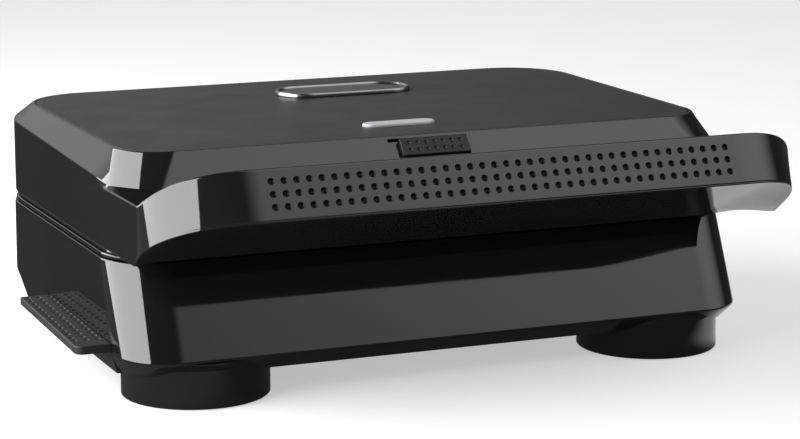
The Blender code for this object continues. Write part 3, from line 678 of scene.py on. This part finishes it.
def sole_mesh():
    right = []
    for step in range(band_steps + 1):
        edge, normal = band_low_line(step / band_steps)
        edge -= Vector((normal[0], normal[1], 0)) * sole_inset
        edge.z -= sole_drop
        sag = min(1, max(0, (edge.x - sole_sag_start) / (sole_sag_end - sole_sag_start)))
        low = [edge]
        for y in (arm_low_end, sole_lip, sole_back):
            share = (arm_start - y) / (arm_start - arm_low_end)
            level = arm_low_height + sole_slope * (sole_lip - y)
            arm_level = blend(lid_bottom, arm_low_height, share) - sole_drop
            reach = body_half_width + band_low_flare * share - sole_inset
            low.append(Vector((min(edge.x, reach), y, blend(level, arm_level, sag))))
        low.insert(1, low[0].lerp(low[1], 0.5))
        right.append(low + [point + Vector((0, 0, sole_thickness)) for point in reversed(low)])
    middle = [Vector((0, point.y, point.z)) for point in right[-1]]
    left = [[Vector((-point.x, point.y, point.z)) for point in station] for station in reversed(right)]
    return loft(right + [middle] + left)


piece("handle_sole", sole_mesh(), gloss_black, "lid", ["handle_underside"], sole_sharp)


# Top panel
def panel_outline(depth):
    return rounded_outline(
        top_half_width - top_rim_width - clearance,
        top_front + top_rim_width + clearance,
        top_back - top_rim_width - clearance,
        top_front_radius - top_rim_width,
        top_back_radius - top_rim_width,
        depth,
    )


lens_x = -0.003
lens_y = 0.0262
lens_length = 0.0335
lens_width = 0.0084
lens_rise = 0.0012
lens_depth = 0.006
lens_hole_depth = 0.004
panel = piece(
    "top_sheet",
    rounded_solid(panel_outline, lid_top - panel_thickness, lid_top, 0.0001, 0.0003),
    satin_black, "lid", ["top_panel"],
)
cut(panel, layers_mesh([
    (height, pill_outline(lens_x, lens_y, lens_length, lens_width, -clearance))
    for height in (lid_top - lens_hole_depth, lid_top + cutter_reach)
]))

# Indicator lens
piece(
    "indicator_bar",
    rounded_solid(
        lambda depth: pill_outline(lens_x, lens_y, lens_length, lens_width, depth),
        lid_top - lens_depth, lid_top + lens_rise, 0.0002, 0.0008,
    ),
    lens_white, "lid", ["indicator_lens"],
)

# Badge place: a raised pill with a light rim, left bare
badge = (0.0099, 0.1240, 0.0660, 0.0270)
badge_low = lid_top + clearance
badge_high = badge_low + 0.0016
badge_edge = 0.0006
badge_sink = 0.0007
badge_layers = [
    (badge_low, 0.0), (badge_high - badge_edge, 0.0), (badge_high, 0.0005), (badge_high, 0.0015),
    (badge_high - badge_sink, 0.0021),
]
badge_piece = piece(
    "badge_blank", layers_mesh([(height, pill_outline(*badge, depth)) for height, depth in badge_layers]),
    rim_silver, "lid", ["badge_plate"],
)
badge_piece.data.materials.append(gloss_black)
quad_corners = 4
for face in badge_piece.data.polygons:
    if face.center.z > badge_low + badge_sink and len(face.vertices) > quad_corners:
        face.material_index = 1

# Base shell
base_top_inset = 0.0006
base_top_half_width = body_half_width - base_top_inset
base_top_front = -0.0120
base_top_back = 0.1757
base_top_height = 0.0582
base_crease_swell = 0.0001
base_crease_half_width = body_half_width + base_crease_swell
base_crease_taper = 0.0028
base_crease_front = -0.0296
base_crease_back = 0.1755
base_crease_back_radius = 0.027
base_crease_front_height = 0.0196
base_crease_back_height = 0.0255
base_foot_inset = 0.0030
base_foot_half_width = body_half_width - base_foot_inset
base_foot_front = -0.0235
base_foot_back = 0.1660
base_foot_height = 0.0132
base_front_radius = 0.024
base_back_radius = 0.036
base_radii = {0: 0.0008, 1: 0.0014, 2: 0.0006}
base_levels = (
    (base_top_half_width, base_top_front, base_top_back, base_back_radius, base_top_height),
    (base_crease_half_width, base_crease_front, base_crease_back, base_crease_back_radius, None),
    (base_foot_half_width, base_foot_front, base_foot_back, base_back_radius, base_foot_height),
)


def crease_narrowing(y):
    """The crease draws in a little towards the back."""
    share = (y - base_crease_front) / (base_crease_back - base_crease_front)
    return 1 - base_crease_taper / base_crease_half_width * share


def crease_height(y):
    """The crease rises a little towards the back."""
    share = (y - base_crease_front) / (base_crease_back - base_crease_front)
    return blend(base_crease_front_height, base_crease_back_height, share)


def base_stations():
    """Upright sections round the wall: down its outer face and up its inner one."""
    rings = []
    for depth in (0, wall):
        for half_width, front, back, back_radius, height in base_levels:
            outline = rounded_outline(half_width, front, back, base_front_radius, back_radius, depth)
            if height:
                rings.append([Vector((x, y, height)) for x, y in outline])
            else:
                rings.append([Vector((x * crease_narrowing(y), y, crease_height(y))) for x, y in outline])
    order = rings[:3] + rings[:2:-1]
    return [fillet(station, base_radii) for station in zip(*order)]


tray_front = -0.0045
tray_back = 0.0935
tray_face_stand = 0.0002
tray_face = base_crease_half_width + tray_face_stand
tray_face_thickness = 0.0024
tray_face_inner = tray_face - tray_face_thickness
tray_face_low = 0.0122
tray_face_top = 0.0249
slot_margin = 0.0016
gland_radius = 0.0078
gland_cut_half = 0.012


def box_mesh(low, high):
    made = bmesh.new()
    bmesh.ops.create_cube(made, size=1.0)
    low = Vector(low)
    high = Vector(high)
    bmesh.ops.scale(made, vec=high - low, verts=made.verts)
    bmesh.ops.translate(made, vec=(low + high) / 2, verts=made.verts)
    return made


base_shell = piece(
    "base_shell", loft(base_stations(), ring=True), gloss_black,
    "base", ["base_housing"], shell_sharp,
)
cut(base_shell, box_mesh(
    (-body_half_width - cutter_reach, tray_front - slot_margin, tray_face_low - cutter_reach),
    (-base_foot_half_width + 3 * wall, tray_back + slot_margin, tray_face_top + 2 * clearance),
))
gland_low, gland_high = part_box("cord_gland")
gland_place = (gland_low + gland_high) / 2 - shift
gland_cut = layers_mesh([
    (height, circle_outline(gland_place.x, 0, gland_radius)) for height in (-gland_cut_half, gland_cut_half)
])
lay_down = Matrix.Rotation(math.radians(90), 4, "X")
set_back = Matrix.Translation((0, gland_place.y, gland_place.z))
bmesh.ops.transform(gland_cut, matrix=set_back @ lay_down, verts=gland_cut.verts)
cut(base_shell, gland_cut)
sharpen(base_shell, shell_sharp)

# Seam lips: each frame gets a rounded nose
plate_half_width = 0.122
plate_front = 0.016
plate_back = 0.158
plate_gap = 2 * clearance
opening_radius = 0.0126
opening = rounded_outline(
    plate_half_width + plate_gap, plate_front - plate_gap, plate_back + plate_gap,
    opening_radius, opening_radius,
)
hook_slot = ((-0.0095, -0.0028, 0.05), (0.0048, 0.0018, 0.07))
lip_round = 0.0008
lid_lip_half = body_half_width - 0.001
base_lip_half = body_half_width - 0.0011
for name, body, node, half_width, front, back, front_radius, back_radius, low, high in (
    ("lid_lip", "lid", "lid_frame", lid_lip_half, -0.0130, 0.176, 0.016, 0.041, 0.0613, 0.0632),
    ("base_lip", "base", "base_frame", base_lip_half, -0.0115, 0.1752, 0.024, 0.036, 0.0585, 0.0606),
):
    lip = piece(
        name,
        rounded_solid(
            lambda depth: rounded_outline(half_width, front, back, front_radius, back_radius, depth),
            low, high, lip_round, lip_round,
        ),
        gloss_black, body, [node],
    )
    cut(lip, layers_mesh([(height, opening) for height in (low - cutter_reach, high + cutter_reach)]))
    cut(lip, box_mesh(*hook_slot))
    sharpen(lip, piece_sharp)

# Feet: sharp-footed drums whose shoulders run up under the base's crease
front_foot_x = 0.1060
front_foot_y = -0.0002
rear_foot_x = 0.0980
rear_foot_y = 0.1330
foot_radius = 0.0311
foot_shoulder = 0.0164
foot_high = base_crease_front_height - 0.0006
pad_hole_radius = 0.0243
pad_hole_depth = 0.0043
# Heights of the drum's outlines, each with how far it is drawn in
foot_levels = (
    (0.0003, 0.0004),
    (0.0007, 0.0),
    (foot_shoulder - 0.0006, 0.0),
    (foot_shoulder, 0.0003),
    (foot_high, 0.0006),
)
for side, way in (("left", -1), ("right", 1)):
    for end, reach, y in (("front", front_foot_x, front_foot_y), ("rear", rear_foot_x, rear_foot_y)):
        x = way * reach
        layers = [(height, circle_outline(x, y, foot_radius, depth)) for height, depth in foot_levels]
        drum = piece(
            f"foot_drum_{end}_{side}", layers_mesh(layers), gloss_black,
            "base", [f"foot_{end}_{side}"],
        )
        cut(drum, layers_mesh([
            (height, circle_outline(x, y, pad_hole_radius)) for height in (-cutter_reach, pad_hole_depth)
        ]))
        sharpen(drum, piece_sharp)

# Tray tab
tab_reach = 0.0141
tab_end = tray_face + tab_reach
tab_taper = 0.0026
tab_front_radius = 0.004
tab_back_radius = 0.001
tab_thickness = 0.0036
tab_edge = 0.0006
tab_rows = 3
tab_columns = 15
tab_row_start = 0.0024
tab_row_step = 0.0049
tab_front_margin = 0.0107
tab_back_margin = 0.0045
tab_dimple_opening = 0.00135
tab_dimple_depth = 0.0007


def tab_outline(depth):
    points = []
    for end, corner_y, corner, start in (
        (tab_end - tab_taper, tray_back - tab_back_radius, tab_back_radius, 90),
        (tab_end, tray_front + tab_front_radius, tab_front_radius, 180),
    ):
        radius = corner - depth
        for step in range(corner_steps + 1):
            angle = math.radians(start + 90 * step / corner_steps)
            points.append((corner - end + radius * math.cos(angle), corner_y + radius * math.sin(angle)))
    return points + [(-tray_face_inner, tray_front + depth), (-tray_face_inner, tray_back - depth)]


tab = piece(
    "tray_tab",
    rounded_solid(tab_outline, tray_face_top - tab_thickness, tray_face_top, tab_edge, tab_edge),
    soft_black, "tray", ["tray_handle"],
)
board_drop = 0.001
board = box_mesh(
    (-tray_face, tray_front, tray_face_low), (-tray_face_inner, tray_back, tray_face_top - board_drop)
)
for vert in board.verts:
    if vert.co.z < tray_face_top - tab_thickness:
        vert.co.x += base_foot_inset
cut(tab, board, "UNION")
tab_places = []
for row in range(tab_rows):
    for step in range(tab_columns):
        share = step / (tab_columns - 1)
        x = tab_row_start + tab_row_step * row - tab_end + tab_taper * share
        y = blend(tray_front + tab_front_margin, tray_back - tab_back_margin, share)
        tab_places.append((x, y, tray_face_top))
cut(tab, dimples(tab_places, (0, 0, 1), tab_dimple_opening, tab_dimple_depth, 3, 12))
sharpen(tab, piece_sharp)

# Latch pad
slope_run = Vector((0, bevel_foot_y - top_front, bevel_foot_height - lid_top))
down_slope = slope_run.normalized()
bevel_out = Vector((0, down_slope.z, -down_slope.y))
slope_frame = Matrix.Translation((0, top_front, lid_top)) @ Matrix(
    (Vector((1, 0, 0)), -down_slope, bevel_out)
).transposed().to_4x4()
pad_half = 0.0155
pad_from_edge = 0.0020
pad_width = 0.0086
pad_middle = -pad_from_edge - pad_width / 2
pad_corner = 0.0008
pad_rise = 0.0012
pad_sink = 0.0011
pad_gap = 0.0005
pocket_depth = 0.0015
latch_travel = 0.0045
pad_rows = 2
pad_columns = 7
pad_half_run = 0.0118
pad_first_row = 0.3
pad_row_step = 0.4
pad_dimple_opening = 0.0010
pad_dimple_depth = 0.0006


def sloped(maker):
    bmesh.ops.transform(maker, matrix=slope_frame, verts=maker.verts)
    return maker


def pad_outline(depth):
    return rounded_outline(
        pad_half, pad_middle - pad_width / 2, pad_middle + pad_width / 2, pad_corner, pad_corner, depth, 4
    )


cut(lid_shell, sloped(box_mesh(
    (-pad_half - latch_travel - pad_gap, -pad_from_edge - pad_width - pad_gap, -pocket_depth),
    (pad_half + pad_gap, -pad_from_edge + pad_gap, cutter_reach),
)))
sharpen(lid_shell, shell_sharp)
pad = piece(
    "latch_button",
    sloped(rounded_solid(pad_outline, -pad_sink, pad_rise, 0.0002, 0.0005)),
    soft_black, "latch", ["latch_pad"],
)
pad_places = []
for row in range(pad_rows):
    for step in range(pad_columns):
        x = blend(-pad_half_run, pad_half_run, step / (pad_columns - 1))
        y = -pad_from_edge - pad_width * (pad_first_row + pad_row_step * row)
        pad_places.append(slope_frame @ Vector((x, y, pad_rise)))
cut(pad, dimples(pad_places, bevel_out, pad_dimple_opening, pad_dimple_depth, 3, 10))
sharpen(pad, piece_sharp)


# Stage, lights and camera
def math_node(tree, operation, first, second):
    made = tree.nodes.new("ShaderNodeMath")
    made.operation = operation
    for socket, value in zip(made.inputs, (first, second)):
        if isinstance(value, float):
            socket.default_value = value
        else:
            link(tree, value, socket)
    return made.outputs[0]


def ease(tree, source, start, end, low, high):
    return spread(tree, source, start, end, low, high, "SMOOTHSTEP")


def along(tree, vector, direction):
    made = tree.nodes.new("ShaderNodeVectorMath")
    made.operation = "DOT_PRODUCT"
    made.inputs[1].default_value = direction
    link(tree, vector, made.inputs[0])
    return made.outputs["Value"]


def aim(azimuth, elevation):
    """Azimuth 0 is the front, 90 the user's right."""
    turn = math.radians(azimuth)
    lift = math.radians(elevation)
    return Vector((math.sin(turn) * math.cos(lift), -math.cos(turn) * math.cos(lift), math.sin(lift)))


# The floor is white to the eye; the gloss sees a painted reflection on it instead: a dim glow, darker
# towards the back right as painted shade, with a painted light sheet on its right
floor_dark = (0.80, 0.80, 0.80)
floor_light = (0.82, 0.82, 0.82)
floor_lift = 0.48
painted_glow_front_left = 0.16
painted_shade_tone = 0.05
painted_shade_fade = (-0.16, -0.10)
toward_back_right = (0.866, 0.5, 0)
painted_light_sheet_tone = 0.7
# Each side of the painted light sheet: the axis it crosses, where it begins and ends to fade, and the
# shares there
painted_light_sheet_sides = (
    ((1, 0, 0), 0.13, 0.16, 0.0, 1.0),
    ((1, 0, 0), 0.30, 0.38, 1.0, 0.0),
    ((0, 1, 0), -0.12, -0.08, 0.0, 1.0),
    ((0, 1, 0), 0.14, 0.20, 1.0, 0.0),
)
floor_reach = 6


def stage_material():
    made, tree, shader = new_material("studio_floor")
    shader.inputs["Roughness"].default_value = 0.9
    shader.inputs["Specular IOR Level"].default_value = 0.0
    link(tree, cloud(tree, 30.0, 2.0, (floor_dark, floor_light)), shader.inputs["Base Color"])
    path = tree.nodes.new("ShaderNodeLightPath")
    glow = tree.nodes.new("ShaderNodeEmission")
    lift = math_node(tree, "MULTIPLY", path.outputs["Is Camera Ray"], floor_lift)
    link(tree, lift, glow.inputs["Strength"])
    seen = tree.nodes.new("ShaderNodeAddShader")
    link(tree, shader.outputs[0], seen.inputs[0])
    link(tree, glow.outputs[0], seen.inputs[1])
    place = tree.nodes.new("ShaderNodeTexCoord").outputs["Object"]
    # Painted reflection for glossy rays: painted shade over most of the floor, brighter to the front left,
    # plus a painted light sheet
    painted_shade = ease(tree, along(tree, place, toward_back_right), *painted_shade_fade, painted_glow_front_left, painted_shade_tone)
    sheet = painted_light_sheet_tone
    for axis, *fade in painted_light_sheet_sides:
        sheet = math_node(tree, "MULTIPLY", sheet, ease(tree, along(tree, place, axis), *fade))
    # Glossy rays get this painted reflection in place of the floor's own shading
    painted_floor_reflection = tree.nodes.new("ShaderNodeEmission")
    link(tree, math_node(tree, "ADD", painted_shade, sheet), painted_floor_reflection.inputs["Strength"])
    both = tree.nodes.new("ShaderNodeMixShader")
    link(tree, path.outputs["Is Glossy Ray"], both.inputs[0])
    link(tree, seen.outputs[0], both.inputs[1])
    link(tree, painted_floor_reflection.outputs[0], both.inputs[2])
    link(tree, both.outputs[0], tree.nodes["Material Output"].inputs["Surface"])
    return made


floor_mesh = bpy.data.meshes.new("floor")
floor_corners = [(x * floor_reach, y * floor_reach, 0) for x, y in ((-1, -1), (1, -1), (1, 1), (-1, 1))]
floor_mesh.from_pydata(floor_corners, [], [(0, 1, 2, 3)])
floor = bpy.data.objects.new("floor", floor_mesh)
bpy.context.scene.collection.objects.link(floor)
floor_mesh.materials.append(stage_material())

# The room: white to the eye, else dark with glows: azimuth, elevation, half angle and strength
room_tone = 0.05
room_glows = ((62, 44, 44, 1.15), (180, 28, 40, 0.35), (-160, 26, 26, 0.4))
world = bpy.data.worlds.new("studio")
bpy.context.scene.world = world
world.use_nodes = True
tree = world.node_tree
back = tree.nodes["Background"]
sky = tree.nodes.new("ShaderNodeTexCoord").outputs["Generated"]
room = room_tone
for azimuth, elevation, half_angle, strength in room_glows:
    edge = math.cos(math.radians(half_angle))
    glow = ease(tree, along(tree, sky, aim(azimuth, elevation)), edge, 1.0, 0.0, strength)
    room = math_node(tree, "ADD", room, glow)
path = tree.nodes.new("ShaderNodeLightPath")
level = tree.nodes.new("ShaderNodeMix")
link(tree, path.outputs["Is Camera Ray"], level.inputs["Factor"])
link(tree, room, level.inputs["A"])
level.inputs["B"].default_value = 1.0
link(tree, level.outputs["Result"], back.inputs["Strength"])
back.inputs["Color"].default_value = (1, 1, 1, 1)

# Left wall: one upright lamp of even radiance, square to the object's left front
lamp_azimuth = -100
lamp_distance = 0.62
lamp_width = 1.45
lamp_height = 0.95
lamp_lift = 0.01
lamp_radiance = 5.0
lamp_target = Vector((-0.12, -0.05, lamp_height / 2 + lamp_lift))
lamp_data = bpy.data.lights.new("left_wall", "AREA")
lamp_data.shape = "RECTANGLE"
lamp_data.size = lamp_width
lamp_data.size_y = lamp_height
lamp_data.energy = lamp_radiance * math.pi * lamp_width * lamp_height
lamp = bpy.data.objects.new("left_wall", lamp_data)
bpy.context.scene.collection.objects.link(lamp)
lamp.location = lamp_target + aim(lamp_azimuth, 0) * lamp_distance
lamp.rotation_euler = aim(lamp_azimuth, 0).to_track_quat("Z", "Y").to_euler()

camera_data = bpy.data.cameras.new("camera")
camera_data.sensor_width = 36.0
camera_data.lens = 117.585
camera_data.clip_start = 0.05
camera_data.clip_end = 50
camera = bpy.data.objects.new("camera", camera_data)
camera.location = (-0.43325, -1.05615, 0.2840)
camera.rotation_euler = (math.radians(78.68), 0, math.radians(-23.0))
bpy.context.scene.collection.objects.link(camera)
bpy.context.scene.camera = camera
bpy.context.scene.view_settings.view_transform = "Standard"
